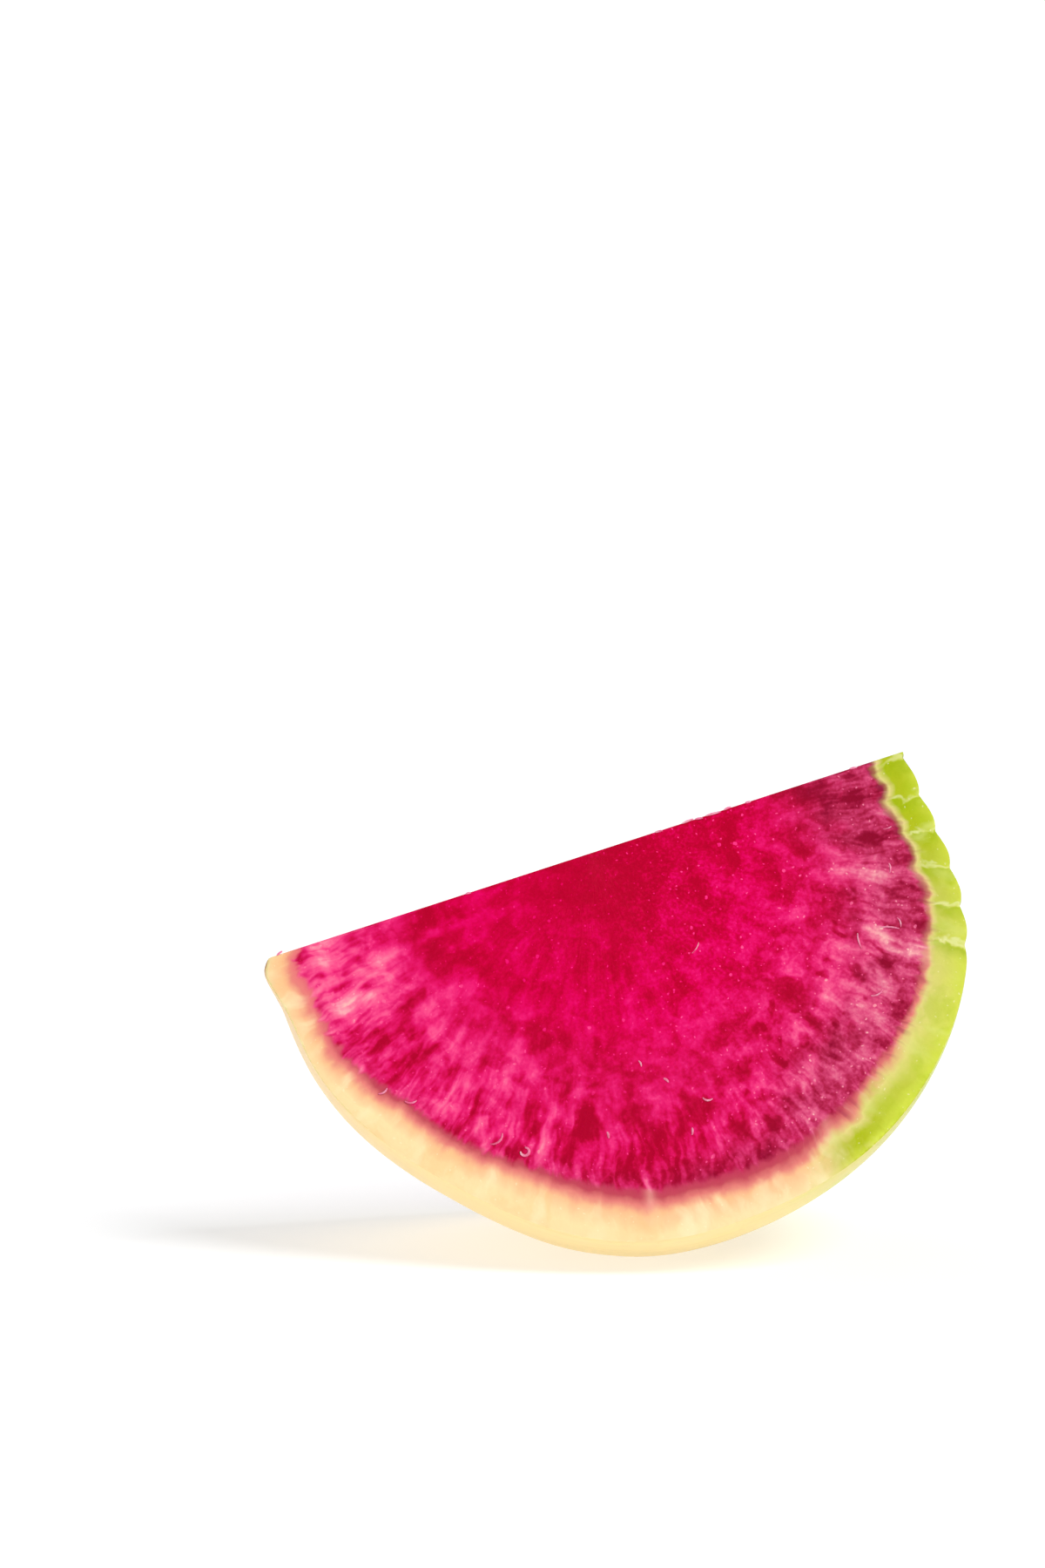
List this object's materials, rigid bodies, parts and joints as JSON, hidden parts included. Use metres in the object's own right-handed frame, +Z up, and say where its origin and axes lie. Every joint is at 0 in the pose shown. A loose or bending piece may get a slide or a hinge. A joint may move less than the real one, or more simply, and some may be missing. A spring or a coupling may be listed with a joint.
{
  "type": "watermelon radish wedge",
  "caption": "Watermelon radish cut lengthwise into a wedge, resting on its skin: magenta flesh, pale rind, cream skin turning green at the ringed crown.",
  "frame": {"origin": "on the table, under the middle of the wedge's box", "axes": "+Z up; +X towards the crown end, along the longest side; the two cut faces look towards -Y and +Y"},
  "size_m": [0.0804, 0.0442, 0.0564],
  "materials": {
    "radish_flesh": "freshly cut, wet magenta flesh with a pale rind; the outside is smooth waxy skin, cream at the root end and green at the crown"
  },
  "bodies": {
    "root": {"radish_wedge": "radish_flesh"}
  },
  "joints": []
}
